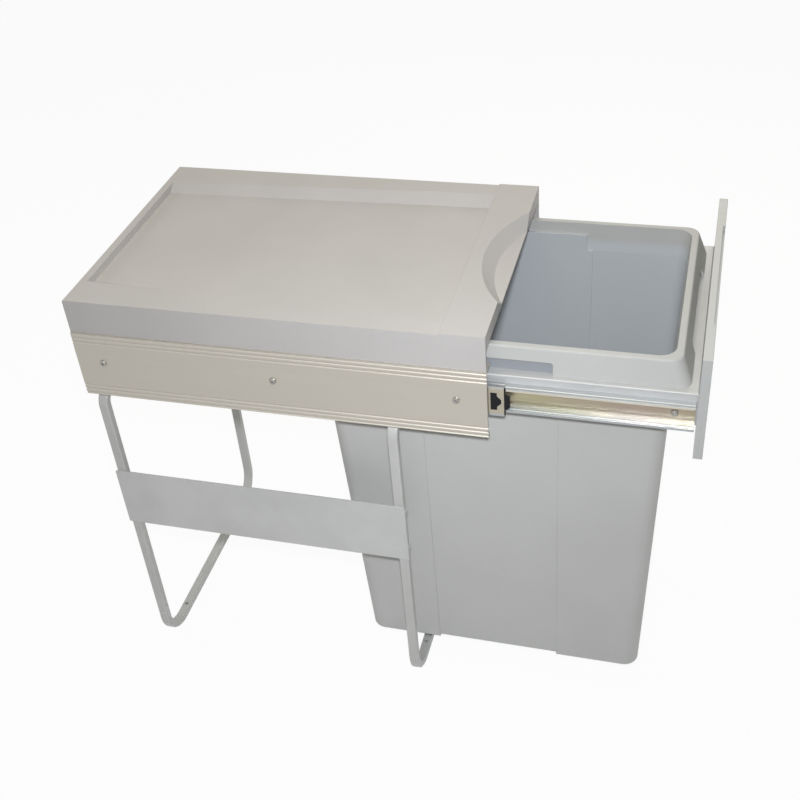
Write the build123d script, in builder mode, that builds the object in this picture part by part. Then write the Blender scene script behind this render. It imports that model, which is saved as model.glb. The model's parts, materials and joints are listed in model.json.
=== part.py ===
"""Pull-out trash cabinet: a waste bin in a carrier on telescopic ball slides, under a moulded cover.

Millimetres, +Z up, front towards -Y. The origin is on the floor, at the centre of the four
floor-screw holes in the two bent-bar leg loops. The carrier is drawn part-way out.
"""

import os
from math import radians, tan

from build123d import *

os.makedirs("parts", exist_ok=True)

# ---------------------------------------------------------------- driving dimensions

# Whole unit
unit_width = 332.0  # outside faces of the side rails
rail_underside = 438.0  # floor to the side rails
running_gap = 0.3  # between pieces that pass each other

# Side rails, rolled C channels
rail_length = 480.0
rail_height = 86.0
rail_sheet = 1.8
rail_top_flange = 20.0
rail_bottom_flange = 36.0
rail_relief_length = 88.0  # lower flange cut back from the rail's front end
rail_relief_reach = 8.0
rail_overhang = 14.0  # rail end behind the rear loop's centre line
rail_groove_depth = 0.9
rail_groove_mouth = 2.8
rail_groove_floor = 0.6
rail_groove_inset = 1.8
rail_groove_pitch = 5.4
rail_groove_count = 3

# Leg loops, bent from flat bar
leg_spacing = 356.0  # front loop to rear loop
leg_bar_depth = 12.0
leg_bar_thickness = 10.0
leg_bar_edge = 2.0
leg_set_in = 2.0  # loop inside the rail's outer face
leg_foot_radius = 45.5  # outside of the bend at the floor
leg_head_radius = 22.0  # outside of the bend under the rail
leg_head_reach = 34.5  # turned-in head, from the loop's outer face
floor_hole_spacing = 206.0
floor_hole_radius = 2.5

# Brace panels, sheet across the outside of the legs
brace_height = 85.0
brace_underside = 232.0
brace_sheet = 2.0
brace_tab_sheet = 1.5
brace_tab_height = 8.0
brace_tab_reach = 9.0
brace_tab_inset = 10.0
brace_corner = 1.5

# Telescopic slides: outer, middle and inner members with balls between them
slide_rise = 47.0  # slide centre above the rail's underside
slide_length = 450.0
slide_setback = 2.0  # outer member behind the rail's front end
slide_stack = 16.5  # rail web to carrier wall
slide_sheet = 1.6
outer_height = 45.8
middle_height = 38.2
inner_height = 30.6
outer_depth = 12.7
middle_depth = 9.0
inner_flange_sheet = 3.0
inner_bead_radius = 1.0  # along the inside of the inner member's flanges
inner_bead_inset = 3.2  # bead's centre behind the flange tips
middle_drawn = 19.0  # middle member's front end past the outer member's
inner_drawn = 195.0  # inner member's front end past the middle member's
outer_track_inset = 7.8  # ball centres from the rail's web
inner_track_inset = 7.4  # ball centres from the carrier's wall
ball_radius = 1.5
ball_clearance = 0.05
ball_count = 4
cage_sheet = 0.5
cage_flange_sheet = 0.8
cage_flange_reach = 2.4  # cage flange beyond the ball centres
outer_cage_length = 150.0
outer_cage_setback = 144.0  # from the outer member's front end
inner_cage_length = 128.0
inner_cage_setback = 30.0  # from the middle member's front end

# End stop clipped into the middle member's front end
stop_bar_setback = 14.5
stop_bar_width = 7.0
stop_bar_height = 22.6
stop_nose_length = 4.5
stop_nose_base = 14.0
stop_nose_tip = 5.0
stop_strip_width = 1.3
stop_strip_height = 35.0
stop_bumper_length = 6.2
stop_bumper_height = 22.0
stop_bumper_tip = 14.0
stop_backing = 0.5  # behind the middle member's web

# Moulded top cover
cover_set_in = 2.0  # cover inside the rail's outer face
cover_front_setback = 0.5
cover_rise = 41.7  # rails to the main top face
cover_wall = 3.0
cover_edge = 1.2
band_length = 49.0
band_rise = 1.5
lip_height = 18.0  # front lip, under the band's top face
tray_rear_margin = 10.0
tray_rear_depth = 9.0
tray_front_depth = 12.5
tray_rear_inset = 42.5  # tray's edge inside the cover's outer face
tray_front_inset = 23.0
tray_slope_width = 14.0
scoop_radius = 158.0
scoop_top_reach = 34.0
scoop_floor_reach = 20.0
scoop_depth = 15.0
rib_sheet = 2.0
rib_drop = 12.5
rib_count = 4
boss_radius = 4.5
boss_height = 16.0
boss_inset = 7.5  # boss centre from the cover's outer face
boss_pitch = 330.0

# Bin carrier, a pressed ring that the bin hangs in
carrier_length = 444.0
carrier_wall_height = 40.0
carrier_ledge_rise = 25.0  # ledge above the slide centre
carrier_sheet = 2.0
carrier_bend = 1.5
carrier_bin_clearance = 1.2

# Front panel that the cabinet's door screws to
panel_side_gap = 1.5  # panel inside the unit's width
panel_height = 125.0
panel_thickness = 9.8
panel_drop = 45.5  # panel underside below the slide centre
panel_setback = 1.7  # inner member's end behind the panel
panel_edge = 0.8
notch_length = 200.0
notch_depth = 2.7
notch_height = 6.0
door_hole_spacing_x = 256.0
door_hole_spacing_z = 90.0
door_hole_radius = 2.75

# Waste bin, moulded with a folded-over rim
bin_underside = 44.5
bin_rim_rise = 30.0  # rim above the carrier's ledge
bin_wall = 2.5
bin_side_gap = 46.0  # bin's foot inside the unit's width
bin_foot_length = 351.1
bin_foot_gap = 41.6  # carrier's front to the bin's foot
bin_side_draft = 1.0
bin_front_draft = 1.8
bin_rear_draft = 2.8
bin_corner = 18.0
bin_foot_radius = 3.0
collar_drop = 5.0  # collar starts this far under the ledge
collar_spread = 2.35
band_step = 1.0  # middle band set in from the side walls
band_floor_step = 2.6
middle_band_length = 154.0
middle_band_gap = 144.0  # carrier front to the middle band
skirt_top_spread = 7.4  # rim's outer face past the body's
skirt_foot_spread = 13.9
skirt_foot_extra = 5.0  # further flare at the front and rear
skirt_corner = 15.0
skirt_edge = 2.4
recess_length = 136.0
recess_gap = 149.0  # carrier front to the skirt recess
recess_height = 14.7
recess_depth = 3.5
recess_corner = 3.0
grip_width = 156.0
grip_height = 13.0
grip_corner = 9.0
bump_depth = 2.6
bump_drop = 14.3  # bump's top under the rim

# Screws
screw_head_height = 2.2
screw_head_radius = 3.9
screw_shank_radius = 2.0
screw_hole_clearance = 0.2
screw_recess_length = 3.4
screw_recess_width = 0.8
screw_recess_depth = 1.2
slide_screw_pitch = 207.0
slide_screw_margin = 33.6  # last screw to the rail's front end
carrier_screw_pitch = 200.0
carrier_screw_margin = 20.8  # first screw to the inner member's front end
panel_screw_pitch = 80.0
panel_screw_count = 4
panel_screw_rise = 5.0  # above the slide centre
panel_screw_grip = 6.0
leg_screw_grip = 8.0
cover_screw_grip = 10.0

# ---------------------------------------------------------------- derived places

half_width = unit_width / 2
rail_top = rail_underside + rail_height
rail_rear = leg_spacing / 2 + rail_overhang
rail_front = rail_rear - rail_length
rail_web_face = half_width - rail_sheet
slide_z = rail_underside + slide_rise

leg_half = half_width - leg_set_in
leg_axis = leg_half - leg_bar_thickness / 2
leg_top_axis = rail_underside - leg_bar_thickness / 2
leg_screw_x = leg_half - leg_head_reach + leg_bar_depth / 2

outer_back = rail_web_face
middle_back = outer_back - slide_sheet - cage_sheet - 2 * running_gap
inner_back = outer_back - slide_stack
inner_tip = middle_back - slide_sheet - cage_sheet - 2 * running_gap
inner_depth = inner_tip - inner_back
outer_track_x = outer_back - outer_track_inset
inner_track_x = inner_back + inner_track_inset
outer_track_z = (outer_height / 2 - slide_sheet + middle_height / 2) / 2
inner_track_z = (middle_height / 2 - slide_sheet + inner_height / 2) / 2
outer_front = rail_front + slide_setback
middle_front = outer_front - middle_drawn
inner_front = middle_front - inner_drawn
stop_bar_y = middle_front + stop_bar_setback - stop_bar_width / 2
stop_nose_y = stop_bar_y - stop_bar_width / 2

panel_width = unit_width - 2 * panel_side_gap
panel_rear = inner_front - panel_setback
panel_mid_z = slide_z - panel_drop + panel_height / 2
carrier_half = inner_back
carrier_front = panel_rear
carrier_ledge = slide_z + carrier_ledge_rise

cover_half = half_width - cover_set_in
cover_front = rail_front + cover_front_setback
cover_length = rail_rear - cover_front
cover_top = rail_top + cover_rise
band_top = cover_top + band_rise
lip_underside = band_top - lip_height
tray_rear = rail_rear - tray_rear_margin
tray_front = cover_front + band_length
scoop_floor = band_top - scoop_depth
boss_x = cover_half - boss_inset
boss_mid_y = (rail_rear + cover_front) / 2

bin_rim = carrier_ledge + bin_rim_rise
bin_foot_half = half_width - bin_side_gap
bin_foot_front = carrier_front + bin_foot_gap
bin_foot_rear = bin_foot_front + bin_foot_length
collar_start = carrier_ledge - collar_drop

# ---------------------------------------------------------------- shared forms


def write(part, name):
    """Label a finished piece and write its STEP file."""
    part.label = name
    export_step(part, f"parts/{name}.step")


def pan_head_screw(shank_length):
    """Cross-recess pan head screw, head seat on the XY plane, shank pointing down."""
    with BuildPart() as screw:
        with BuildSketch():
            Circle(screw_head_radius)
        extrude(amount=screw_head_height)
        fillet(screw.faces().sort_by(Axis.Z)[-1].edges(), screw_head_height / 2)
        with BuildSketch():
            Circle(screw_shank_radius)
        extrude(amount=-shank_length)
        with BuildSketch(Plane.XY.offset(screw_head_height)):
            Rectangle(screw_recess_length, screw_recess_width)
            Rectangle(screw_recess_width, screw_recess_length)
        extrude(amount=-screw_recess_depth, mode=Mode.SUBTRACT)
    return screw.part


def channel(side, back, height, depth, opens, flange_sheet=slide_sheet):
    """C section about the slide centre; opens is -1 towards the bin or 1 towards the rail."""
    with Locations((side * (back + opens * slide_sheet / 2), slide_z)):
        Rectangle(slide_sheet, height)
    rise = (height - flange_sheet) / 2
    flange_x = side * (back + opens * depth / 2)
    with Locations((flange_x, slide_z - rise), (flange_x, slide_z + rise)):
        Rectangle(depth, flange_sheet)


def track_places(side, track_x, track_z):
    """The lower and the upper ball track's centre in the section plane."""
    return [(side * track_x, slide_z - track_z), (side * track_x, slide_z + track_z)]


def ball_track(side, track_x, track_z):
    """Two round grooves that the balls run in."""
    with Locations(*track_places(side, track_x, track_z)):
        Circle(ball_radius + ball_clearance, mode=Mode.SUBTRACT)


def rail_groove(side, z):
    """Groove with sloped flanks in the rail's outer face."""
    Polygon(
        (side * (half_width + rail_groove_depth), z - rail_groove_mouth / 2),
        (side * half_width, z - rail_groove_mouth / 2),
        (side * (half_width - rail_groove_depth), z - rail_groove_floor / 2),
        (side * (half_width - rail_groove_depth), z + rail_groove_floor / 2),
        (side * half_width, z + rail_groove_mouth / 2),
        (side * (half_width + rail_groove_depth), z + rail_groove_mouth / 2),
        align=None,
        mode=Mode.SUBTRACT,
    )


def stop_nose(side):
    """Bar and tapered nose of the end stop, as seen in the middle member's window."""
    with Locations((side * stop_bar_y, 0)):
        Rectangle(stop_bar_width, stop_bar_height)
    Polygon(
        (side * stop_nose_y, -stop_nose_base / 2),
        (side * (stop_nose_y - stop_nose_length), -stop_nose_tip / 2),
        (side * (stop_nose_y - stop_nose_length), stop_nose_tip / 2),
        (side * stop_nose_y, stop_nose_base / 2),
        align=None,
    )


def cross_plane(y):
    """Section plane at y that extrudes towards the front."""
    return Plane.XZ.offset(-y)


def back_plane(y):
    """Plane at y facing the rear, its second axis up."""
    return Plane(origin=(0, y, 0), x_dir=(-1, 0, 0), z_dir=(0, 1, 0))


def side_plane(side, x):
    """Plane at x facing away from the bin, its first axis along Y and its second up."""
    return Plane(origin=(side * x, 0, slide_z), x_dir=(0, side, 0), z_dir=(side, 0, 0))


def side_spots(side, places):
    """Points along Y on a side plane."""
    return [(side * y, 0) for y in places]


def cage_balls_y(front, length):
    """Y of the balls, evenly spread along a cage."""
    pitch = length / ball_count
    return [front + pitch * (i + 0.5) for i in range(ball_count)]


slide_screw_y = [rail_front + slide_screw_margin + i * slide_screw_pitch for i in range(3)]
carrier_screw_y = [inner_front + carrier_screw_margin + i * carrier_screw_pitch for i in range(3)]
panel_screw_spots = [
    ((i - (panel_screw_count - 1) / 2) * panel_screw_pitch, slide_z + panel_screw_rise)
    for i in range(panel_screw_count)
]
boss_y = [boss_mid_y - boss_pitch / 2, boss_mid_y + boss_pitch / 2]
leg_screw_y = [-leg_spacing / 2, leg_spacing / 2]

# ---------------------------------------------------------------- side rails and slides

for side, hand in ((-1, "left"), (1, "right")):
    # Side rail: web with grooves along both edges, flanges turned towards the bin
    with BuildPart() as side_rail:
        with BuildSketch(cross_plane(rail_rear)):
            with Locations((side * (half_width - rail_sheet / 2), rail_underside + rail_height / 2)):
                Rectangle(rail_sheet, rail_height)
            with Locations((side * (half_width - rail_top_flange / 2), rail_top - rail_sheet / 2)):
                Rectangle(rail_top_flange, rail_sheet)
            flange_z = rail_underside + rail_sheet / 2
            with Locations((side * (half_width - rail_bottom_flange / 2), flange_z)):
                Rectangle(rail_bottom_flange, rail_sheet)
            for edge, step in ((rail_top, -1), (rail_underside, 1)):
                for i in range(rail_groove_count):
                    rail_groove(side, edge + step * (rail_groove_inset + i * rail_groove_pitch))
        extrude(amount=rail_length)
        relief_x = side * (half_width - (rail_relief_reach + rail_bottom_flange) / 2)
        with Locations((relief_x, rail_front + rail_relief_length / 2, flange_z)):
            Box(rail_bottom_flange - rail_relief_reach, rail_relief_length, rail_sheet, mode=Mode.SUBTRACT)
        with Locations(side_plane(side, half_width)):
            with Locations(*side_spots(side, slide_screw_y)):
                Hole(screw_shank_radius + screw_hole_clearance, depth=rail_sheet)
        with Locations(*[(side * boss_x, y, rail_top) for y in boss_y]):
            Hole(screw_shank_radius + screw_hole_clearance, depth=rail_sheet)
        with Locations(*[(side * leg_screw_x, y, rail_underside + rail_sheet) for y in leg_screw_y]):
            Hole(screw_shank_radius + screw_hole_clearance, depth=rail_sheet)
    write(side_rail.part, f"{hand}_side_rail")

    # Outer member, screwed to the rail's web
    with BuildPart() as slide_outer:
        with BuildSketch(cross_plane(outer_front + slide_length)):
            channel(side, outer_back, outer_height, outer_depth, -1)
            ball_track(side, outer_track_x, outer_track_z)
        extrude(amount=slide_length)
        with Locations(side_plane(side, outer_back)):
            with Locations(*side_spots(side, slide_screw_y)):
                Hole(screw_shank_radius, depth=slide_sheet)
    write(slide_outer.part, f"{hand}_slide_outer")

    # Slide screws, from outside through the rail into the outer member
    with BuildPart() as slide_screws:
        with Locations(side_plane(side, half_width)):
            with Locations(*side_spots(side, slide_screw_y)):
                add(pan_head_screw(rail_sheet + slide_sheet))
    write(slide_screws.part, f"{hand}_slide_screws")

    # Middle member, with tracks on both faces of its flanges and a window for the end stop
    with BuildPart() as slide_middle:
        with BuildSketch(cross_plane(middle_front + slide_length)):
            channel(side, middle_back, middle_height, middle_depth, -1)
            ball_track(side, outer_track_x, outer_track_z)
            ball_track(side, inner_track_x, inner_track_z)
        extrude(amount=slide_length)
        with BuildSketch(side_plane(side, middle_back)):
            stop_nose(side)
        extrude(amount=-slide_sheet, mode=Mode.SUBTRACT)
    write(slide_middle.part, f"{hand}_slide_middle")

    # End stop: a bar and nose in the window, joined behind the web to a strip and bumper at the end
    with BuildPart() as end_stop:
        bumper_y = middle_front - stop_bumper_length
        stop_rear_y = middle_front + stop_bar_setback
        with BuildSketch(side_plane(side, middle_back)):
            stop_nose(side)
            with Locations((side * (middle_front - stop_strip_width / 2), 0)):
                Rectangle(stop_strip_width, stop_strip_height)
            with BuildLine():
                Polyline(
                    (side * middle_front, -stop_bumper_height / 2),
                    (side * bumper_y, -stop_bumper_tip / 2),
                    (side * bumper_y, stop_bumper_tip / 2),
                    (side * middle_front, stop_bumper_height / 2),
                    close=True,
                )
            make_face()
        extrude(amount=-slide_sheet)
        with BuildSketch(side_plane(side, middle_back - slide_sheet)):
            with Locations((side * (stop_rear_y + bumper_y) / 2, 0)):
                Rectangle(stop_rear_y - bumper_y, stop_bumper_tip)
        extrude(amount=-stop_backing)
    write(end_stop.part, f"{hand}_middle_end_stop")

    # Inner member, opening towards the rail, with thick flanges and a bead inside each
    with BuildPart() as slide_inner:
        with BuildSketch(cross_plane(inner_front + slide_length)):
            channel(side, inner_back, inner_height, inner_depth, 1, inner_flange_sheet)
            bead_rise = inner_height / 2 - inner_flange_sheet
            bead_x = side * (inner_tip - inner_bead_inset)
            with Locations((bead_x, slide_z - bead_rise), (bead_x, slide_z + bead_rise)):
                Circle(inner_bead_radius)
            ball_track(side, inner_track_x, inner_track_z)
        extrude(amount=slide_length)
        with Locations(side_plane(side, inner_back + slide_sheet)):
            with Locations(*side_spots(side, carrier_screw_y)):
                Hole(screw_shank_radius + screw_hole_clearance, depth=slide_sheet)
    write(slide_inner.part, f"{hand}_slide_inner")

    # Ball cages: U strips whose flanges carry the balls in round holes
    cages = (
        ("outer", outer_back - slide_sheet - running_gap, outer_track_x, outer_track_z,
         outer_front + outer_cage_setback, outer_cage_length),
        ("inner", middle_back - slide_sheet - running_gap, inner_track_x, inner_track_z,
         middle_front + inner_cage_setback, inner_cage_length),
    )
    for race, cage_back, track_x, track_z, cage_front, cage_length in cages:
        balls_y = cage_balls_y(cage_front, cage_length)
        cage_depth = cage_back - track_x + cage_flange_reach
        with BuildPart() as ball_cage:
            with BuildSketch(cross_plane(cage_front + cage_length)):
                with Locations((side * (cage_back - cage_sheet / 2), slide_z)):
                    Rectangle(cage_sheet, 2 * track_z + cage_flange_sheet)
                flange_x = side * (cage_back - cage_depth / 2)
                with Locations((flange_x, slide_z - track_z), (flange_x, slide_z + track_z)):
                    Rectangle(cage_depth, cage_flange_sheet)
            extrude(amount=cage_length)
            cage_top = slide_z + track_z + cage_flange_sheet / 2
            with Locations(*[(side * track_x, y, cage_top) for y in balls_y]):
                Hole(ball_radius + ball_clearance)
        write(ball_cage.part, f"{hand}_{race}_ball_cage")

        with BuildPart() as balls:
            for x, z in track_places(side, track_x, track_z):
                with Locations(*[(x, y, z) for y in balls_y]):
                    Sphere(ball_radius)
        write(balls.part, f"{hand}_{race}_balls")

# ---------------------------------------------------------------- legs and braces

for end, place in ((-1, "front"), (1, "rear")):
    loop_y = end * leg_spacing / 2
    # Leg loop: one bar from rail to floor and back up, its heads turned in under the rails
    with BuildPart() as leg_loop:
        head_bend = leg_head_radius - leg_bar_thickness / 2
        foot_bend = leg_foot_radius - leg_bar_thickness / 2
        with BuildLine(cross_plane(loop_y)) as loop_path:
            FilletPolyline(
                (-leg_half + leg_head_reach, leg_top_axis),
                (-leg_axis, leg_top_axis),
                (-leg_axis, leg_bar_thickness / 2),
                (leg_axis, leg_bar_thickness / 2),
                (leg_axis, leg_top_axis),
                (leg_half - leg_head_reach, leg_top_axis),
                radius=[head_bend, foot_bend, foot_bend, head_bend],
            )
        bar_start = Plane(origin=loop_path.line @ 0, x_dir=(0, 1, 0), z_dir=loop_path.line % 0)
        with BuildSketch(bar_start):
            RectangleRounded(leg_bar_depth, leg_bar_thickness, leg_bar_edge)
        sweep()
        with Locations(*[(s * floor_hole_spacing / 2, loop_y, leg_bar_thickness) for s in (-1, 1)]):
            Hole(floor_hole_radius, depth=leg_bar_thickness)
        with Locations(*[(s * leg_screw_x, loop_y, rail_underside) for s in (-1, 1)]):
            Hole(screw_shank_radius, depth=leg_screw_grip)
    write(leg_loop.part, f"{place}_leg_loop")

with BuildPart() as leg_screws:
    with Locations(Plane.XY.offset(rail_underside + rail_sheet)):
        with Locations(*[(s * leg_screw_x, y) for s in (-1, 1) for y in leg_screw_y]):
            add(pan_head_screw(rail_sheet + leg_screw_grip))
write(leg_screws.part, "leg_screws")

for side, hand in ((-1, "left"), (1, "right")):
    brace_half = leg_spacing / 2 + leg_bar_depth / 2 + brace_tab_sheet
    # Brace panel: flat sheet outside the legs, held by tabs folded round the bars
    with BuildPart() as brace_panel:
        with BuildSketch(side_plane(side, leg_half)):
            with Locations((0, brace_underside + brace_height / 2 - slide_z)):
                RectangleRounded(2 * brace_half, brace_height, brace_corner)
        extrude(amount=brace_sheet)
        tab_x = side * (leg_half - brace_tab_reach / 2)
        tab_rise = brace_tab_inset + brace_tab_height / 2
        for end in (-1, 1):
            tab_y = end * (brace_half - brace_tab_sheet / 2)
            for tab_z in (brace_underside + tab_rise, brace_underside + brace_height - tab_rise):
                with Locations((tab_x, tab_y, tab_z)):
                    Box(brace_tab_reach, brace_tab_sheet, brace_tab_height)
    write(brace_panel.part, f"{hand}_brace_panel")

# ---------------------------------------------------------------- top cover


def tray_form(grow):
    """Tray recess under the cover's top: upright ends, sloped sides, wider and deeper at the front."""
    with BuildPart() as form:
        stations = (
            (tray_rear + grow, tray_rear_inset, tray_rear_depth + grow),
            (tray_front - grow, tray_front_inset, tray_front_depth + grow),
        )
        for y, inset, depth in stations:
            top_half = cover_half - inset + grow
            floor_half = top_half - tray_slope_width
            with BuildSketch(cross_plane(y)):
                with BuildLine():
                    Polyline(
                        (-top_half, cover_top),
                        (-floor_half, cover_top - depth),
                        (floor_half, cover_top - depth),
                        (top_half, cover_top),
                        close=True,
                    )
                make_face()
        loft(ruled=True)
    return form.part


def scoop_form(grow):
    """Finger scoop: an arc-shaped hollow that slopes down to the cover's front edge."""
    with BuildPart() as form:
        for level, reach in ((scoop_floor - grow, scoop_floor_reach), (band_top, scoop_top_reach)):
            with BuildSketch(Plane.XY.offset(level)):
                with Locations((0, cover_front + reach - scoop_radius)):
                    Circle(scoop_radius + grow)
        loft()
    return form.part


def scoop_wall():
    """Solid that the finger scoop is sunk into, behind the cover's front face."""
    with BuildPart() as wall:
        add(scoop_form(cover_wall))
        with Locations((0, cover_front, lip_underside)):
            Box(
                2 * cover_half,
                scoop_radius,
                lip_height,
                align=(Align.CENTER, Align.MIN, Align.MIN),
                mode=Mode.INTERSECT,
            )
    return wall.part


with BuildPart() as top_cover:
    cover_mid_y = (rail_rear + cover_front) / 2
    with BuildSketch(Plane.XY.offset(rail_top)):
        with Locations((0, cover_mid_y)):
            Rectangle(2 * cover_half, cover_length)
    extrude(amount=cover_rise)
    with BuildSketch(Plane.XY.offset(cover_top)):
        with Locations((0, cover_front + band_length / 2)):
            Rectangle(2 * cover_half, band_length)
    extrude(amount=band_rise)
    fillet(top_cover.faces().filter_by(Axis.Z).group_by(Axis.Z)[-2].edges().group_by(Axis.Y)[-1], cover_edge)
    # Hollow underside, open at the front below the lip
    with BuildSketch(Plane.XY.offset(rail_top)):
        with Locations((0, cover_mid_y)):
            Rectangle(2 * (cover_half - cover_wall), cover_length - 2 * cover_wall)
    extrude(amount=cover_rise - cover_wall, mode=Mode.SUBTRACT)
    with BuildSketch(Plane.XY.offset(rail_top)):
        with Locations((0, cover_front + cover_wall / 2)):
            Rectangle(2 * (cover_half - cover_wall), cover_wall)
    extrude(amount=lip_underside - rail_top, mode=Mode.SUBTRACT)
    # Tray and scoop: walls under the top first, then the hollows
    add(tray_form(cover_wall))
    add(scoop_wall())
    # Ribs across the underside
    rib_pitch = (cover_length - band_length) / (rib_count + 1)
    for i in range(rib_count):
        with Locations((0, rail_rear - (i + 1) * rib_pitch, cover_top - cover_wall)):
            Box(
                2 * (cover_half - cover_wall),
                rib_sheet,
                rib_drop,
                align=(Align.CENTER, Align.CENTER, Align.MAX),
            )
    # Screw bosses against the side walls
    for side in (-1, 1):
        with BuildSketch(Plane.XY.offset(rail_top)):
            with Locations(*[(side * boss_x, y) for y in boss_y]):
                Circle(boss_radius)
            with Locations(*[(side * (boss_x + cover_half - cover_wall) / 2, y) for y in boss_y]):
                Rectangle(cover_half - cover_wall - boss_x, 2 * rib_sheet)
        extrude(amount=boss_height)
        with Locations(Plane.XY.offset(rail_top)):
            with Locations(*[(side * boss_x, y, cover_screw_grip) for y in boss_y]):
                Hole(screw_shank_radius, depth=cover_screw_grip)
    add(tray_form(0), mode=Mode.SUBTRACT)
    add(scoop_form(0), mode=Mode.SUBTRACT)
write(top_cover.part, "top_cover")

with BuildPart() as cover_screws:
    with Locations(Plane(origin=(0, 0, rail_top - rail_sheet), x_dir=(1, 0, 0), z_dir=(0, 0, -1))):
        with Locations(*[(s * boss_x, -y) for s in (-1, 1) for y in boss_y]):
            add(pan_head_screw(rail_sheet + cover_screw_grip))
write(cover_screws.part, "cover_screws")

# ---------------------------------------------------------------- waste bin


def bin_half(z):
    """Half width over the body's outer walls at height z."""
    return bin_foot_half + (z - bin_underside) * tan(radians(bin_side_draft))


def bin_outline(z, spread, corner, extra=0):
    """Rounded outline of the body at height z, grown by spread, and by extra lengthwise."""
    up = z - bin_underside
    front = bin_foot_front - up * tan(radians(bin_front_draft)) - spread - extra
    rear = bin_foot_rear + up * tan(radians(bin_rear_draft)) + spread + extra
    with BuildSketch(Plane.XY.offset(z)) as outline:
        with Locations((0, (front + rear) / 2)):
            RectangleRounded(2 * (bin_half(z) + spread), rear - front, corner)
    return outline.sketch


def bin_body(inset, floor_step):
    """Tapered body below the collar, with a rounded foot."""
    corner = bin_corner - inset
    foot = bin_outline(bin_underside + floor_step + inset, -inset, corner)
    with BuildPart() as body:
        loft([foot, bin_outline(collar_start, -inset, corner)], ruled=True)
        fillet(body.faces().sort_by(Axis.Z)[0].edges(), bin_foot_radius + inset)
    return body.part


def bin_form(inset):
    """Whole bin grown inward by inset: body with its middle band set in and raised, and collar."""
    with BuildPart() as form:
        add(bin_body(inset, 0))
        band_y = carrier_front + middle_band_gap + middle_band_length / 2
        with Locations((0, band_y, collar_start)):
            Box(
                2 * half_width,
                middle_band_length + 2 * inset,
                2 * (collar_start - bin_underside),
                align=(Align.CENTER, Align.CENTER, Align.MAX),
                mode=Mode.SUBTRACT,
            )
        add(bin_body(inset + band_step, band_floor_step - band_step))
        spread = collar_spread - inset
        collar_head = bin_outline(bin_rim, spread, bin_corner + spread)
        loft([bin_outline(collar_start, -inset, bin_corner - inset), collar_head], ruled=True)
    return form.part


def skirt_spread(z):
    """How far the skirt's outer face stands out from the body at height z."""
    share = (z - carrier_ledge) / (bin_rim - carrier_ledge)
    return skirt_foot_spread + share * (skirt_top_spread - skirt_foot_spread)


def skirt_form(inset, top):
    """Folded-over rim from the ledge up to top, flaring out towards its lower edge."""
    corner = skirt_corner - inset
    flare_left = (bin_rim - top) / (bin_rim - carrier_ledge)
    foot = bin_outline(carrier_ledge, skirt_foot_spread - inset, corner, skirt_foot_extra)
    head = bin_outline(top, skirt_spread(top) - inset, corner, skirt_foot_extra * flare_left)
    with BuildPart() as form:
        loft([foot, head], ruled=True)
    return form.part


recess_y = carrier_front + recess_gap + recess_length / 2
recess_top = carrier_ledge + recess_height
recess_face = bin_half(recess_top) + skirt_spread(recess_top) - recess_depth


def recess_walls():
    """Thickening of the skirt behind the recess in each long side."""
    with BuildPart() as walls:
        reach = half_width - recess_face + bin_wall
        for side in (-1, 1):
            with Locations((side * (half_width - reach / 2), recess_y, carrier_ledge)):
                Box(
                    reach,
                    recess_length + 2 * bin_wall,
                    recess_height + bin_wall,
                    align=(Align.CENTER, Align.CENTER, Align.MIN),
                )
        add(skirt_form(0, bin_rim), mode=Mode.INTERSECT)
    return walls.part


with BuildPart() as waste_bin:
    add(skirt_form(0, bin_rim))
    fillet(waste_bin.faces().sort_by(Axis.Z)[-1].edges(), skirt_edge)
    add(skirt_form(bin_wall, bin_rim - bin_wall), mode=Mode.SUBTRACT)
    # Recess in each long side of the skirt
    add(recess_walls())
    for side in (-1, 1):
        recess_plane = Plane(
            origin=(side * recess_face, recess_y, carrier_ledge), x_dir=(0, 1, 0), z_dir=(side, 0, 0)
        )
        with BuildSketch(recess_plane):
            RectangleRounded(recess_length, 2 * recess_height, recess_corner)
        extrude(amount=2 * recess_depth + bin_wall, mode=Mode.SUBTRACT)
    # Grip cut-out in the front edge of the skirt
    with BuildSketch(cross_plane(bin_foot_front)):
        with Locations((0, carrier_ledge)):
            RectangleRounded(grip_width, 2 * grip_height, grip_corner)
    extrude(amount=bin_foot_gap, mode=Mode.SUBTRACT)
    add(bin_form(0))
    add(bin_form(bin_wall), mode=Mode.SUBTRACT)
    # The recesses show inside as flat bumps on the long walls
    bump_top = bin_rim - bump_drop
    bump_base = bin_half(bump_top) - bin_wall / 2
    for side in (-1, 1):
        with Locations((side * (bump_base - bump_depth / 2), recess_y, collar_start)):
            Box(
                bump_depth,
                recess_length,
                bump_top - collar_start,
                align=(Align.CENTER, Align.CENTER, Align.MIN),
            )
write(waste_bin.part, "waste_bin")

# ---------------------------------------------------------------- carrier and front panel

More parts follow.
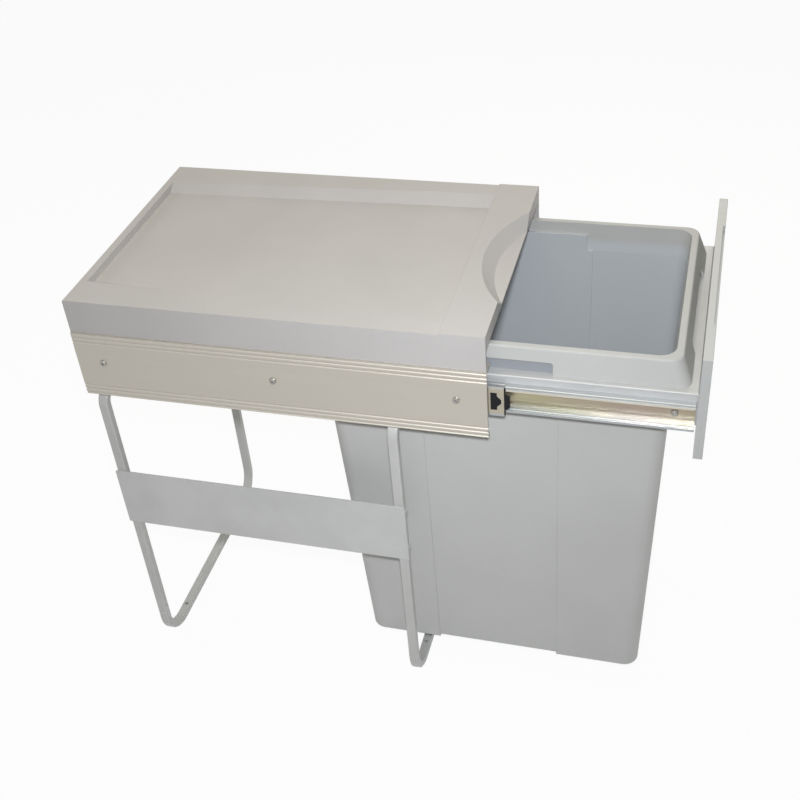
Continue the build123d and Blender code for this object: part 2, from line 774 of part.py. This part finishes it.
with BuildPart() as bin_carrier:
    carrier_mid_y = carrier_front + carrier_length / 2
    with BuildSketch(Plane.XY.offset(carrier_ledge - carrier_wall_height)):
        with Locations((0, carrier_mid_y)):
            Rectangle(2 * carrier_half, carrier_length)
    extrude(amount=carrier_wall_height)
    fillet(bin_carrier.faces().sort_by(Axis.Z)[-1].edges(), carrier_bend)
    with BuildSketch(Plane.XY.offset(carrier_ledge - carrier_wall_height)):
        with Locations((0, carrier_mid_y)):
            Rectangle(2 * (carrier_half - carrier_sheet), carrier_length - 2 * carrier_sheet)
    extrude(amount=carrier_wall_height - carrier_sheet, mode=Mode.SUBTRACT)
    bin_hole = bin_outline(carrier_ledge, carrier_bin_clearance, bin_corner + carrier_bin_clearance)
    extrude(bin_hole, amount=-2 * carrier_sheet, mode=Mode.SUBTRACT)
    for side in (-1, 1):
        with Locations(side_plane(side, carrier_half)):
            with Locations(*side_spots(side, carrier_screw_y)):
                Hole(screw_shank_radius, depth=carrier_sheet)
    with Locations(cross_plane(carrier_front)):
        with Locations(*panel_screw_spots):
            Hole(screw_shank_radius + screw_hole_clearance, depth=carrier_sheet)
write(bin_carrier.part, "bin_carrier")

with BuildPart() as carrier_screws:
    for side in (-1, 1):
        with Locations(side_plane(side, carrier_half + slide_sheet)):
            with Locations(*side_spots(side, carrier_screw_y)):
                add(pan_head_screw(slide_sheet + carrier_sheet))
write(carrier_screws.part, "carrier_screws")

with BuildPart() as front_panel:
    with BuildSketch(cross_plane(panel_rear)):
        with Locations((0, panel_mid_z)):
            Rectangle(panel_width, panel_height)
    extrude(amount=panel_thickness)
    fillet(front_panel.faces().sort_by(Axis.Y)[0].edges(), panel_edge)
    with Locations((0, panel_rear - panel_thickness, panel_mid_z + panel_height / 2)):
        Box(notch_length, 2 * notch_depth, 2 * notch_height, mode=Mode.SUBTRACT)
    with Locations(cross_plane(panel_rear - panel_thickness)):
        with Locations((0, panel_mid_z)):
            with GridLocations(door_hole_spacing_x, door_hole_spacing_z, 2, 2):
                Hole(door_hole_radius)
    with Locations(back_plane(panel_rear)):
        with Locations(*panel_screw_spots):
            Hole(screw_shank_radius, depth=panel_screw_grip)
write(front_panel.part, "front_panel")

with BuildPart() as panel_screws:
    with Locations(back_plane(carrier_front + carrier_sheet)):
        with Locations(*panel_screw_spots):
            add(pan_head_screw(carrier_sheet + panel_screw_grip))
write(panel_screws.part, "panel_screws")
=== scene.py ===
"""Looks for the pull-out trash cabinet: materials, light, floor and camera round the fixed frame."""

import json
from math import cos, radians, sin

import bpy
from mathutils import Matrix, Vector


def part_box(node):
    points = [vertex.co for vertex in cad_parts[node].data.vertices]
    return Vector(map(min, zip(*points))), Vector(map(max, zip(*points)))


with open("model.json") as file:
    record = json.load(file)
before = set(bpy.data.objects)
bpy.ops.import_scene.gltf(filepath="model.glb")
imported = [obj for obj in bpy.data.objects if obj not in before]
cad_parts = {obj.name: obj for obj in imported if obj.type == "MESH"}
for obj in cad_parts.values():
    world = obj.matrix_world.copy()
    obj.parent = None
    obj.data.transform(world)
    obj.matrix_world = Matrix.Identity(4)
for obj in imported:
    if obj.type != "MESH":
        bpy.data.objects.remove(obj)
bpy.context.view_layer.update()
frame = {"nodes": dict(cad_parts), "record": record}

NODES = frame["nodes"]
MM = 0.001

# ---------------------------------------------------------------- camera

CAMERA_PLACE = Vector((-1.10587, -0.49895, 1.23786))
CAMERA_AZIMUTH = radians(-71.93)
CAMERA_ELEVATION = radians(37.58)
CAMERA_ROLL = radians(-5.21)
CAMERA_LENS = 52.21
SENSOR_WIDTH = 36.0


def make_camera():
    """Camera at the photograph's place, turned by azimuth, elevation and a small roll."""
    data = bpy.data.cameras.new("camera")
    data.lens = CAMERA_LENS
    data.sensor_width = SENSOR_WIDTH
    camera = bpy.data.objects.new("camera", data)
    bpy.context.scene.collection.objects.link(camera)
    flat = cos(CAMERA_ELEVATION)
    back = Vector((sin(CAMERA_AZIMUTH) * flat, -cos(CAMERA_AZIMUTH) * flat, sin(CAMERA_ELEVATION)))
    level = Vector((0, 0, 1)).cross(back).normalized()
    upright = back.cross(level)
    right = cos(CAMERA_ROLL) * level + sin(CAMERA_ROLL) * upright
    up = cos(CAMERA_ROLL) * upright - sin(CAMERA_ROLL) * level
    turn = Matrix((right, up, back)).transposed().to_4x4()
    camera.matrix_world = Matrix.Translation(CAMERA_PLACE) @ turn
    bpy.context.scene.camera = camera


# ---------------------------------------------------------------- shader building

BEVEL_SAMPLES = 4

# How closely the rounded normal follows the flat one where the mask of an edge's painted highlight
# starts and is full.
EDGE_START = 0.99
EDGE_FULL = 0.8

# Noise values between which a mask goes from 0 to 1.
MIDDLE_BAND = (0.35, 0.65)
WIDE_BAND = (0.3, 0.7)


class Shader:
    """A Principled material with short calls for the nodes that feed it."""

    def __init__(self, name, metallic=0.0, specular=0.5):
        self.material = bpy.data.materials.new(name)
        self.material.use_nodes = True
        self.tree = self.material.node_tree
        self.surface = self.tree.nodes["Principled BSDF"]
        self.surface.inputs["Metallic"].default_value = metallic
        self.surface.inputs["Specular IOR Level"].default_value = specular
        self.place = self.node("ShaderNodeTexCoord").outputs["Object"]

    def node(self, kind, **settings):
        made = self.tree.nodes.new(kind)
        for key, value in settings.items():
            setattr(made, key, value)
        return made

    def feed(self, socket, value):
        """Links an output, or sets a number or colour."""
        if isinstance(value, bpy.types.NodeSocket):
            self.tree.links.new(value, socket)
        else:
            socket.default_value = value

    def math(self, operation, *values):
        made = self.node("ShaderNodeMath", operation=operation)
        for socket, value in zip(made.inputs, values):
            self.feed(socket, value)
        return made.outputs[0]

    def product(self, *masks):
        """Masks multiplied together: 1 only where each of them is 1."""
        result = masks[0]
        for mask in masks[1:]:
            result = self.math("MULTIPLY", result, mask)
        return result

    def axis(self, name):
        made = self.node("ShaderNodeSeparateXYZ")
        self.feed(made.inputs["Vector"], self.place)
        return made.outputs[name]

    def distance_from(self, value, middle):
        return self.math("ABSOLUTE", self.math("SUBTRACT", value, middle))

    def stretched(self, scale):
        """Object coordinates scaled on each axis."""
        made = self.node("ShaderNodeMapping")
        self.feed(made.inputs["Vector"], self.place)
        made.inputs["Scale"].default_value = scale
        return made.outputs["Vector"]

    def noise(self, scale, detail=3.0, roughness=0.55, place=None):
        made = self.node("ShaderNodeTexNoise")
        self.feed(made.inputs["Vector"], place or self.place)
        made.inputs["Scale"].default_value = scale
        made.inputs["Detail"].default_value = detail
        made.inputs["Roughness"].default_value = roughness
        return made.outputs["Fac"]

    def streaks(self, scale, detail, roughness):
        """Noise with a scale of its own on each axis, so that it is drawn out along one of them."""
        return self.noise(1.0, detail, roughness, self.stretched(scale))

    def cells(self, scale):
        """Distance to the middle of the nearest cell."""
        made = self.node("ShaderNodeTexVoronoi", feature="F1")
        self.feed(made.inputs["Vector"], self.place)
        made.inputs["Scale"].default_value = scale
        return made.outputs["Distance"]

    def span(self, value, low, high, to_low, to_high):
        """Maps a range of value onto another range, clamped."""
        made = self.node("ShaderNodeMapRange")
        for socket, number in zip(made.inputs, (value, low, high, to_low, to_high)):
            self.feed(socket, number)
        return made.outputs["Result"]

    def mask(self, value, start, full):
        """0 up to the value start and 1 from the value full on; full may be the smaller one."""
        return self.span(value, start, full, 0.0, 1.0)

    def mix(self, share, first, second, blend="MIX"):
        made = self.node("ShaderNodeMix", data_type="RGBA", blend_type=blend)
        self.feed(made.inputs["Factor"], share)
        self.feed(made.inputs["A"], first)
        self.feed(made.inputs["B"], second)
        return made.outputs["Result"]

    def layer(self, shade, colour, mask, strength):
        """Lays a colour over the shade where the mask is 1, as strongly as strength says."""
        return self.mix(self.math("MULTIPLY", mask, strength), shade, colour)

    def edges(self, radius):
        """Rounded normal, and a mask that is 1 along the edges, where a painted highlight goes."""
        rounded = self.node("ShaderNodeBevel", samples=BEVEL_SAMPLES)
        rounded.inputs["Radius"].default_value = radius
        flat = self.node("ShaderNodeNewGeometry")
        dot = self.node("ShaderNodeVectorMath", operation="DOT_PRODUCT")
        self.feed(dot.inputs[0], rounded.outputs["Normal"])
        self.feed(dot.inputs[1], flat.outputs["Normal"])
        return rounded.outputs["Normal"], self.mask(dot.outputs["Value"], EDGE_START, EDGE_FULL)

    def bump(self, height, strength, distance, normal):
        made = self.node("ShaderNodeBump")
        made.inputs["Strength"].default_value = strength
        made.inputs["Distance"].default_value = distance
        self.feed(made.inputs["Height"], height)
        self.feed(made.inputs["Normal"], normal)
        return made.outputs["Normal"]

    def finish(self, colour, normal, roughness):
        self.feed(self.surface.inputs["Base Color"], colour)
        self.feed(self.surface.inputs["Normal"], normal)
        self.feed(self.surface.inputs["Roughness"], roughness)
        return self.material


def tone(colour, factor):
    """A colour made lighter or darker."""
    return (*[min(1.0, c * factor) for c in colour[:3]], 1.0)


def srgb(red, green, blue):
    """Screen colour, 0 to 255, as a linear colour."""

    def linear(level):
        share = level / 255
        return share / 12.92 if share <= 0.04045 else ((share + 0.055) / 1.055) ** 2.4

    return (linear(red), linear(green), linear(blue), 1.0)


# ---------------------------------------------------------------- places with painted light or shade, and the slide webs' tints

# Outline of the waste bin: half width and ends at its foot, how far each wall leans out for every
# metre of height, and the radius of its upright corners.
BIN_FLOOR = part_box("waste_bin")[0][2]
BIN_FOOT_HALF = 120.0 * MM
BIN_FOOT_FRONT = -460.1 * MM
BIN_FOOT_REAR = -109.0 * MM
BIN_SIDE_TAPER = 0.01746
BIN_FRONT_TAPER = 0.03143
BIN_REAR_TAPER = 0.04891
BIN_CORNER = 18.0 * MM

# Depths in the bin's wall where its painted light starts and where it is full: the inner walls and
# floor are painted lighter and cooler than the outside.
INSIDE_START = 1.3 * MM
INSIDE_FULL = 1.9 * MM


def inside_bin(made):
    """1 on the bin's inner walls and floor, which are painted lighter and cooler as light and shade:
    points well inside the tapered, rounded outline.
    """
    up = made.math("SUBTRACT", made.axis("Z"), BIN_FLOOR)
    half = made.math("MULTIPLY_ADD", up, BIN_SIDE_TAPER, BIN_FOOT_HALF)
    front = made.math("MULTIPLY_ADD", up, -BIN_FRONT_TAPER, BIN_FOOT_FRONT)
    rear = made.math("MULTIPLY_ADD", up, BIN_REAR_TAPER, BIN_FOOT_REAR)
    from_side = made.math("SUBTRACT", half, made.math("ABSOLUTE", made.axis("X")))
    from_front = made.math("SUBTRACT", made.axis("Y"), front)
    from_rear = made.math("SUBTRACT", rear, made.axis("Y"))
    from_end = made.math("MINIMUM", from_front, from_rear)
    squares = []
    for distance in (from_side, from_end):
        short = made.math("MAXIMUM", made.math("SUBTRACT", BIN_CORNER, distance), 0.0)
        squares.append(made.math("MULTIPLY", short, short))
    from_centre = made.math("SQRT", made.math("ADD", *squares))
    depth = made.math("SUBTRACT", BIN_CORNER, from_centre)
    return made.mask(made.math("MINIMUM", depth, up), INSIDE_START, INSIDE_FULL)


# Floor of the recess in the bin's skirt, painted darker as shade: its distance from the middle of
# the unit, the middle and half of its length, its upper end, how soft its ends are, and how near to
# the floor its painted shade starts and is full.
RECESS_FACE = 135.6 * MM
RECESS_MIDDLE = -284.7 * MM
RECESS_HALF = 68.0 * MM
RECESS_TOP = 524.7 * MM
RECESS_FADE = 0.5 * MM
RECESS_START = 0.6 * MM
RECESS_FULL = 0.3 * MM


def in_recess(made):
    """1 on the floor of the recess in each long side of the skirt, which is painted darker as shade.
    """
    off_face = made.distance_from(made.math("ABSOLUTE", made.axis("X")), RECESS_FACE)
    along = made.distance_from(made.axis("Y"), RECESS_MIDDLE)
    return made.product(
        made.mask(off_face, RECESS_START, RECESS_FULL),
        made.mask(along, RECESS_HALF, RECESS_HALF - RECESS_FADE),
        made.mask(made.axis("Z"), RECESS_TOP, RECESS_TOP - RECESS_FADE),
    )


# Slide members: the height of their middle, and for each kind the web's two tints, its nearest and
# farthest place across the unit, how far it reaches up and down, and the height of the top face.
SLIDE_MIDDLE = 485.0 * MM
MIDDLE_MEMBER = {
    "tints": (srgb(190, 184, 166), srgb(184, 177, 160)),
    "near": 159.6 * MM,
    "far": 161.8 * MM,
    "reach": 16.5 * MM,
    "crown": 503.9 * MM,
}
INNER_MEMBER = {
    "tints": (srgb(176, 161, 147), srgb(180, 173, 143)),
    "near": 140.0 * MM,
    "far": 150.6 * MM,
    "reach": 12.0 * MM,
    "crown": 500.1 * MM,
}
# Painted shade: the top face of a slide member is greyer and darker, offsetting the warm overhead
# light it faces.
CROWN_PAINTED_SHADE = srgb(186, 189, 190)
# Painted shade: the lower flange of a slide member is cooler and darker, offsetting the warm
# overhead light on its upward face.
FOOT_PAINTED_SHADE = srgb(179, 185, 191)

# How softly the tones of a slide member change, and how far below the top face the painted shade on
# the top starts and is full.
WEB_SIDE_FADE = 0.3 * MM
WEB_END_FADE = 0.4 * MM
FOOT_FADE = 8.0 * MM
CROWN_START = 0.6 * MM
CROWN_FULL = 0.3 * MM


def on_web(made, member):
    """1 on the web of a slide member, between its flanges, on both sides of the unit."""
    near, far, reach = member["near"], member["far"], member["reach"]
    across = made.math("ABSOLUTE", made.axis("X"))
    rise = made.distance_from(made.axis("Z"), SLIDE_MIDDLE)
    return made.product(
        made.mask(across, near - WEB_SIDE_FADE, near),
        made.mask(across, far + WEB_SIDE_FADE, far),
        made.mask(rise, reach + WEB_END_FADE, reach - WEB_END_FADE),
    )


def on_crown(made, member):
    """1 on the top face of a slide member, which is painted greyer and darker as shade."""
    crown = member["crown"]
    return made.mask(made.axis("Z"), crown - CROWN_START, crown - CROWN_FULL)


def above_foot(made):
    """0 on the lower flange of a slide member, which is painted cooler as shade, and 1 on the upper
    one.
    """
    return made.mask(made.axis("Z"), SLIDE_MIDDLE - FOOT_FADE, SLIDE_MIDDLE + FOOT_FADE)


# ---------------------------------------------------------------- materials

# Plastics and paints reflect the white surroundings less than the shader's standard surface does.
DULL_SPECULAR = 0.2
BLACK_SPECULAR = 0.15

PLASTIC_ROUGHNESS = 0.5
PAINT_ROUGHNESS = 0.46
PAINT_METALLIC = 0.15
ZINC_METALLIC = 0.75
SCREW_METALLIC = 0.85
# Colour of the painted highlight along aluminium edges.
ALUMINIUM_EDGE_HIGHLIGHT = srgb(212, 212, 206)


def moulded_plastic(name, colour, zones=()):
    """Moulded plastic: fine grain, faint clouding, scuffs, a painted highlight along the edges, and
    toned zones that hold painted light and shade.
    """
    made = Shader(name, specular=DULL_SPECULAR)
    clouds = made.mask(made.noise(scale=9.0, detail=4.0), *MIDDLE_BAND)
    grain = made.noise(scale=1400.0, detail=2.0, roughness=0.6)
    scuff_place = made.stretched((1.0, 14.0, 3.0))
    scuff_noise = made.noise(scale=30.0, detail=5.0, roughness=0.65, place=scuff_place)
    scuffs = made.mask(scuff_noise, start=0.62, full=0.72)
    swell = made.noise(scale=55.0, detail=2.0)
    rounded, edge = made.edges(radius=0.7 * MM)
    shade = made.mix(clouds, tone(colour, 0.98), tone(colour, 1.02))
    # Zones of painted light and shade, such as the bin's lighter inside and darker recess.
    for zone, zone_colour in zones:
        shade = made.mix(zone(made), shade, zone_colour)
    shade = made.layer(shade, tone(colour, 0.8), made.mask(grain, *WIDE_BAND), strength=0.10)
    shade = made.layer(shade, tone(colour, 1.25), scuffs, strength=0.06)
    # Painted highlight along the edges.
    shade = made.layer(shade, tone(colour, 1.15), edge, strength=0.3)
    normal = made.bump(grain, strength=0.2, distance=0.2 * MM, normal=rounded)
    normal = made.bump(swell, strength=0.04, distance=1.0 * MM, normal=normal)
    wear = made.math("ADD", clouds, scuffs)
    rough = made.span(wear, 0.0, 2.0, PLASTIC_ROUGHNESS + 0.05, PLASTIC_ROUGHNESS - 0.09)
    return made.finish(shade, normal, rough)


def rolled_aluminium(name, colour, roughness=0.38, metallic=0.5):
    """Satin anodised extrusion with draw lines along the rail, small handling marks and a painted
    highlight along the edges.
    """
    made = Shader(name, metallic)
    lines = made.streaks((900.0, 5.0, 900.0), detail=4.0, roughness=0.7)
    broad = made.streaks((60.0, 1.6, 60.0), detail=3.0, roughness=0.5)
    specks = made.mask(made.cells(scale=420.0), start=0.12, full=0.0)
    rounded, edge = made.edges(radius=0.5 * MM)
    shade = made.mix(made.mask(lines, *WIDE_BAND), tone(colour, 0.96), tone(colour, 1.03))
    shade = made.layer(shade, tone(colour, 0.96), made.mask(broad, *MIDDLE_BAND), strength=0.35)
    shade = made.layer(shade, tone(colour, 0.7), specks, strength=0.10)
    # Painted highlight along the edges.
    shade = made.layer(shade, ALUMINIUM_EDGE_HIGHLIGHT, edge, strength=0.45)
    normal = made.bump(lines, strength=0.10, distance=0.15 * MM, normal=rounded)
    rough = made.span(lines, *WIDE_BAND, roughness - 0.06, roughness + 0.1)
    return made.finish(shade, normal, rough)


def powder_coat(name, colour):
    """Sprayed silver-grey coat: fine orange peel, metallic fleck and a painted highlight along the
    edges.
    """
    made = Shader(name, PAINT_METALLIC, DULL_SPECULAR)
    peel = made.noise(scale=520.0, detail=2.0, roughness=0.5)
    fleck = made.mask(made.cells(scale=1600.0), start=0.45, full=0.1)
    drift = made.mask(made.noise(scale=14.0), *MIDDLE_BAND)
    rounded, edge = made.edges(radius=0.6 * MM)
    shade = made.mix(drift, tone(colour, 0.95), tone(colour, 1.03))
    shade = made.layer(shade, tone(colour, 1.35), fleck, strength=0.14)
    # Painted highlight along the edges.
    shade = made.layer(shade, tone(colour, 1.2), edge, strength=0.3)
    normal = made.bump(peel, strength=0.16, distance=0.3 * MM, normal=rounded)
    rough = made.span(peel, *WIDE_BAND, PAINT_ROUGHNESS - 0.06, PAINT_ROUGHNESS + 0.08)
    return made.finish(shade, normal, rough)


def zinc_plate(name, colour, roughness=0.3, member=None):
    """Bright zinc: drawn streaks, bloom, scratches, painted edge highlight; slide members add web
    tints and painted shade.
    """
    made = Shader(name, ZINC_METALLIC)
    streaks = made.streaks((700.0, 8.0, 700.0), detail=4.0, roughness=0.7)
    bloom = made.noise(scale=38.0, detail=4.0, roughness=0.6)
    dull = made.mask(bloom, start=0.4, full=0.7)
    scratch_noise = made.streaks((240.0, 26.0, 900.0), detail=2.0, roughness=0.4)
    scratches = made.mask(scratch_noise, start=0.66, full=0.72)
    rounded, edge = made.edges(radius=0.4 * MM)
    base = colour
    if member:
        drift = made.mask(made.noise(scale=11.0, detail=2.0), *MIDDLE_BAND)
        # The lower flange takes a cool painted shade; the upper flange keeps the metal's colour.
        flanges = made.mix(above_foot(made), FOOT_PAINTED_SHADE, colour)
        base = made.mix(on_web(made, member), flanges, made.mix(drift, *member["tints"]))
    streak_share = made.span(streaks, *WIDE_BAND, 0.0, 0.3)
    shade = made.mix(streak_share, base, tone(colour, 0.85), "MULTIPLY")
    shade = made.layer(shade, tone(colour, 0.62), dull, strength=0.10)
    shade = made.layer(shade, tone(colour, 1.25), scratches, strength=0.25)
    # Painted highlight along the edges.
    shade = made.layer(shade, tone(colour, 1.2), edge, strength=0.4)
    if member:
        # Painted shade on the top face, laid last so that it also covers the painted edge highlight
        # there.
        shade = made.mix(on_crown(made, member), shade, CROWN_PAINTED_SHADE)
    normal = made.bump(streaks, strength=0.10, distance=0.12 * MM, normal=rounded)
    wear = made.math("ADD", bloom, streaks)
    rough = made.span(wear, 0.6, 1.4, roughness - 0.06, roughness + 0.12)
    return made.finish(shade, normal, rough)


def black_acetal(name, colour):
    """Hard black plastic with a faint grain and a painted highlight on the corners."""
    made = Shader(name, specular=BLACK_SPECULAR)
    grain = made.noise(scale=900.0, detail=2.0)
    rounded, edge = made.edges(radius=0.4 * MM)
    shade = made.layer(colour, tone(colour, 2.2), grain, strength=0.3)
    # Painted highlight along the edges.
    shade = made.layer(shade, tone(colour, 6.0), edge, strength=0.5)
    normal = made.bump(grain, strength=0.12, distance=0.2 * MM, normal=rounded)
    return made.finish(shade, normal, made.span(grain, *WIDE_BAND, 0.3, 0.44))


def screw_zinc(name, colour):
    """Plated screw heads with faint turning marks and a painted highlight on the rims."""
    made = Shader(name, SCREW_METALLIC)
    turned = made.noise(scale=320.0)
    rounded, edge = made.edges(radius=0.4 * MM)
    shade = made.mix(made.mask(turned, *MIDDLE_BAND), tone(colour, 0.8), tone(colour, 1.05))
    # Painted highlight along the rims.
    shade = made.layer(shade, tone(colour, 1.25), edge, strength=0.5)
    normal = made.bump(turned, strength=0.15, distance=0.1 * MM, normal=rounded)
    return made.finish(shade, normal, made.span(turned, *WIDE_BAND, 0.25, 0.42))


BLACK = (0.010, 0.010, 0.011, 1.0)
# Painted light and shade on the bin: its inside painted lighter with a cool shade tint, and the
# floor of the skirt's recess painted darker as shade.
BIN_PAINTED_LIGHT_ZONES = ((inside_bin, srgb(199, 203, 206)), (in_recess, srgb(152, 156, 161)))
MATT_ALUMINIUM = {"roughness": 0.5, "metallic": 0.12}

# Each material slot of the record: how it is made, its colour and its other settings.
FINISHES = {
    "cover_plastic": (moulded_plastic, srgb(194, 191, 188), {}),
    "rail_aluminium": (rolled_aluminium, srgb(193, 187, 176), {}),
    "leg_paint": (powder_coat, srgb(193, 193, 190), {}),
    "brace_paint": (powder_coat, srgb(200, 200, 198), {}),
    "slide_zinc": (zinc_plate, srgb(196, 195, 188), {"member": MIDDLE_MEMBER}),
    "slide_passivate": (zinc_plate, srgb(216, 210, 196), {"member": INNER_MEMBER}),
    "ball_steel": (zinc_plate, srgb(214, 214, 214), {"roughness": 0.15}),
    "cage_steel": (zinc_plate, srgb(168, 168, 164), {"roughness": 0.4}),
    "stop_plastic": (black_acetal, BLACK, {}),
    "carrier_paint": (powder_coat, srgb(193, 193, 192), {}),
    "bin_plastic": (moulded_plastic, srgb(192, 192, 189), {"zones": BIN_PAINTED_LIGHT_ZONES}),
    "panel_aluminium": (rolled_aluminium, srgb(187, 188, 186), MATT_ALUMINIUM),
    "screw_steel": (screw_zinc, srgb(168, 166, 160), {}),
}


def dress_nodes():
    """Gives every CAD node the material of its slot."""
    materials = {}
    for slot, (maker, colour, settings) in FINISHES.items():
        materials[slot] = maker(slot, colour, **settings)
    for row in frame["record"]["subparts"]:
        node = NODES[row["node"]]
        node.data.materials.clear()
        node.data.materials.append(materials[row["material_slot"]])


# ---------------------------------------------------------------- floor and light

FLOOR_HALF = 14.0
FLOOR_WHITE = (0.9, 0.9, 0.9, 1.0)
FLOOR_ROUGHNESS = 0.9
FLOOR_GLOW = 0.94
AMBIENT = 0.18

WHITE = (1.0, 1.0, 1.0)
COOL = (0.955, 0.985, 1.04)
WARM = (1.0, 0.926, 0.72)
CREAM = (1.0, 0.96, 0.846)
LAMP_AIM = Vector((0.0, -0.15, 0.4))
KEY_AIM = Vector((-0.1, -0.2, 0.35))


def seen_directly(tree):
    """1 for rays from the camera, from a glossy surface or through glass, and 0 for soft light."""
    path = tree.nodes.new("ShaderNodeLightPath")
    seen = path.outputs["Is Camera Ray"]
    for name in ("Is Glossy Ray", "Is Transmission Ray"):
        either = tree.nodes.new("ShaderNodeMath")
        either.operation = "MAXIMUM"
        tree.links.new(seen, either.inputs[0])
        tree.links.new(path.outputs[name], either.inputs[1])
        seen = either.outputs[0]
    return seen


def make_floor():
    """Pale floor that reads as white to the camera and keeps the object's soft shadow."""
    corners = [(x * FLOOR_HALF, y * FLOOR_HALF, 0) for x, y in ((-1, -1), (1, -1), (1, 1), (-1, 1))]
    mesh = bpy.data.meshes.new("floor")
    mesh.from_pydata(corners, [], [(0, 1, 2, 3)])
    floor = bpy.data.objects.new("floor", mesh)
    bpy.context.scene.collection.objects.link(floor)
    material = bpy.data.materials.new("floor")
    material.use_nodes = True
    tree = material.node_tree
    matte = tree.nodes["Principled BSDF"]
    matte.inputs["Base Color"].default_value = FLOOR_WHITE
    matte.inputs["Roughness"].default_value = FLOOR_ROUGHNESS
    glow = tree.nodes.new("ShaderNodeEmission")
    glow.inputs["Strength"].default_value = 1.0
    share = tree.nodes.new("ShaderNodeMath")
    share.operation = "MULTIPLY"
    share.inputs[1].default_value = FLOOR_GLOW
    tree.links.new(seen_directly(tree), share.inputs[0])
    blend = tree.nodes.new("ShaderNodeMixShader")
    tree.links.new(share.outputs[0], blend.inputs["Fac"])
    tree.links.new(matte.outputs[0], blend.inputs[1])
    tree.links.new(glow.outputs[0], blend.inputs[2])
    tree.links.new(blend.outputs[0], tree.nodes["Material Output"].inputs["Surface"])
    mesh.materials.append(material)


def make_world():
    """Even white surroundings, seen at full strength and lighting the object softly."""
    world = bpy.data.worlds.new("studio")
    bpy.context.scene.world = world
    world.use_nodes = True
    tree = world.node_tree
    sky = tree.nodes["Background"]
    sky.inputs["Color"].default_value = (*WHITE, 1.0)
    strength = tree.nodes.new("ShaderNodeMapRange")
    strength.inputs["To Min"].default_value = AMBIENT
    strength.inputs["To Max"].default_value = 1.0
    tree.links.new(seen_directly(tree), strength.inputs["Value"])
    tree.links.new(strength.outputs["Result"], sky.inputs["Strength"])


def make_lamp(name, place, size, power, colour=WHITE, aim=LAMP_AIM, spread=180.0):
    """Square soft box turned to the object; a narrow spread lets its light fall off outwards."""
    data = bpy.data.lights.new(name, "AREA")
    data.size = size
    data.energy = power
    data.color = colour
    data.spread = radians(spread)
    lamp = bpy.data.objects.new(name, data)
    lamp.location = place
    lamp.rotation_mode = "QUATERNION"
    lamp.rotation_quaternion = (aim - Vector(place)).to_track_quat("-Z", "Y")
    lamp.visible_camera = False
    bpy.context.scene.collection.objects.link(lamp)


def make_lights():
    """A small cool key above the lens, a warm soft box overhead, and soft boxes on three sides."""
    key_place = (-1.06, -0.49, 1.29)
    make_lamp("key", key_place, size=0.06, power=3.4, colour=COOL, aim=KEY_AIM, spread=90.0)
    make_lamp("overhead", (0.0, 0.0, 2.3), size=1.0, power=8.6, colour=WARM)
    make_lamp("right", (1.5, -0.4, 1.3), size=0.8, power=6.4, colour=CREAM)
    make_lamp("rear", (0.2, 1.8, 1.3), size=0.8, power=6.0)
    make_lamp("front", (0.9, -1.9, 0.35), size=0.8, power=4.0)


# ---------------------------------------------------------------- scene

bpy.context.scene.view_settings.view_transform = "Standard"
make_camera()
dress_nodes()
make_floor()
make_world()
make_lights()
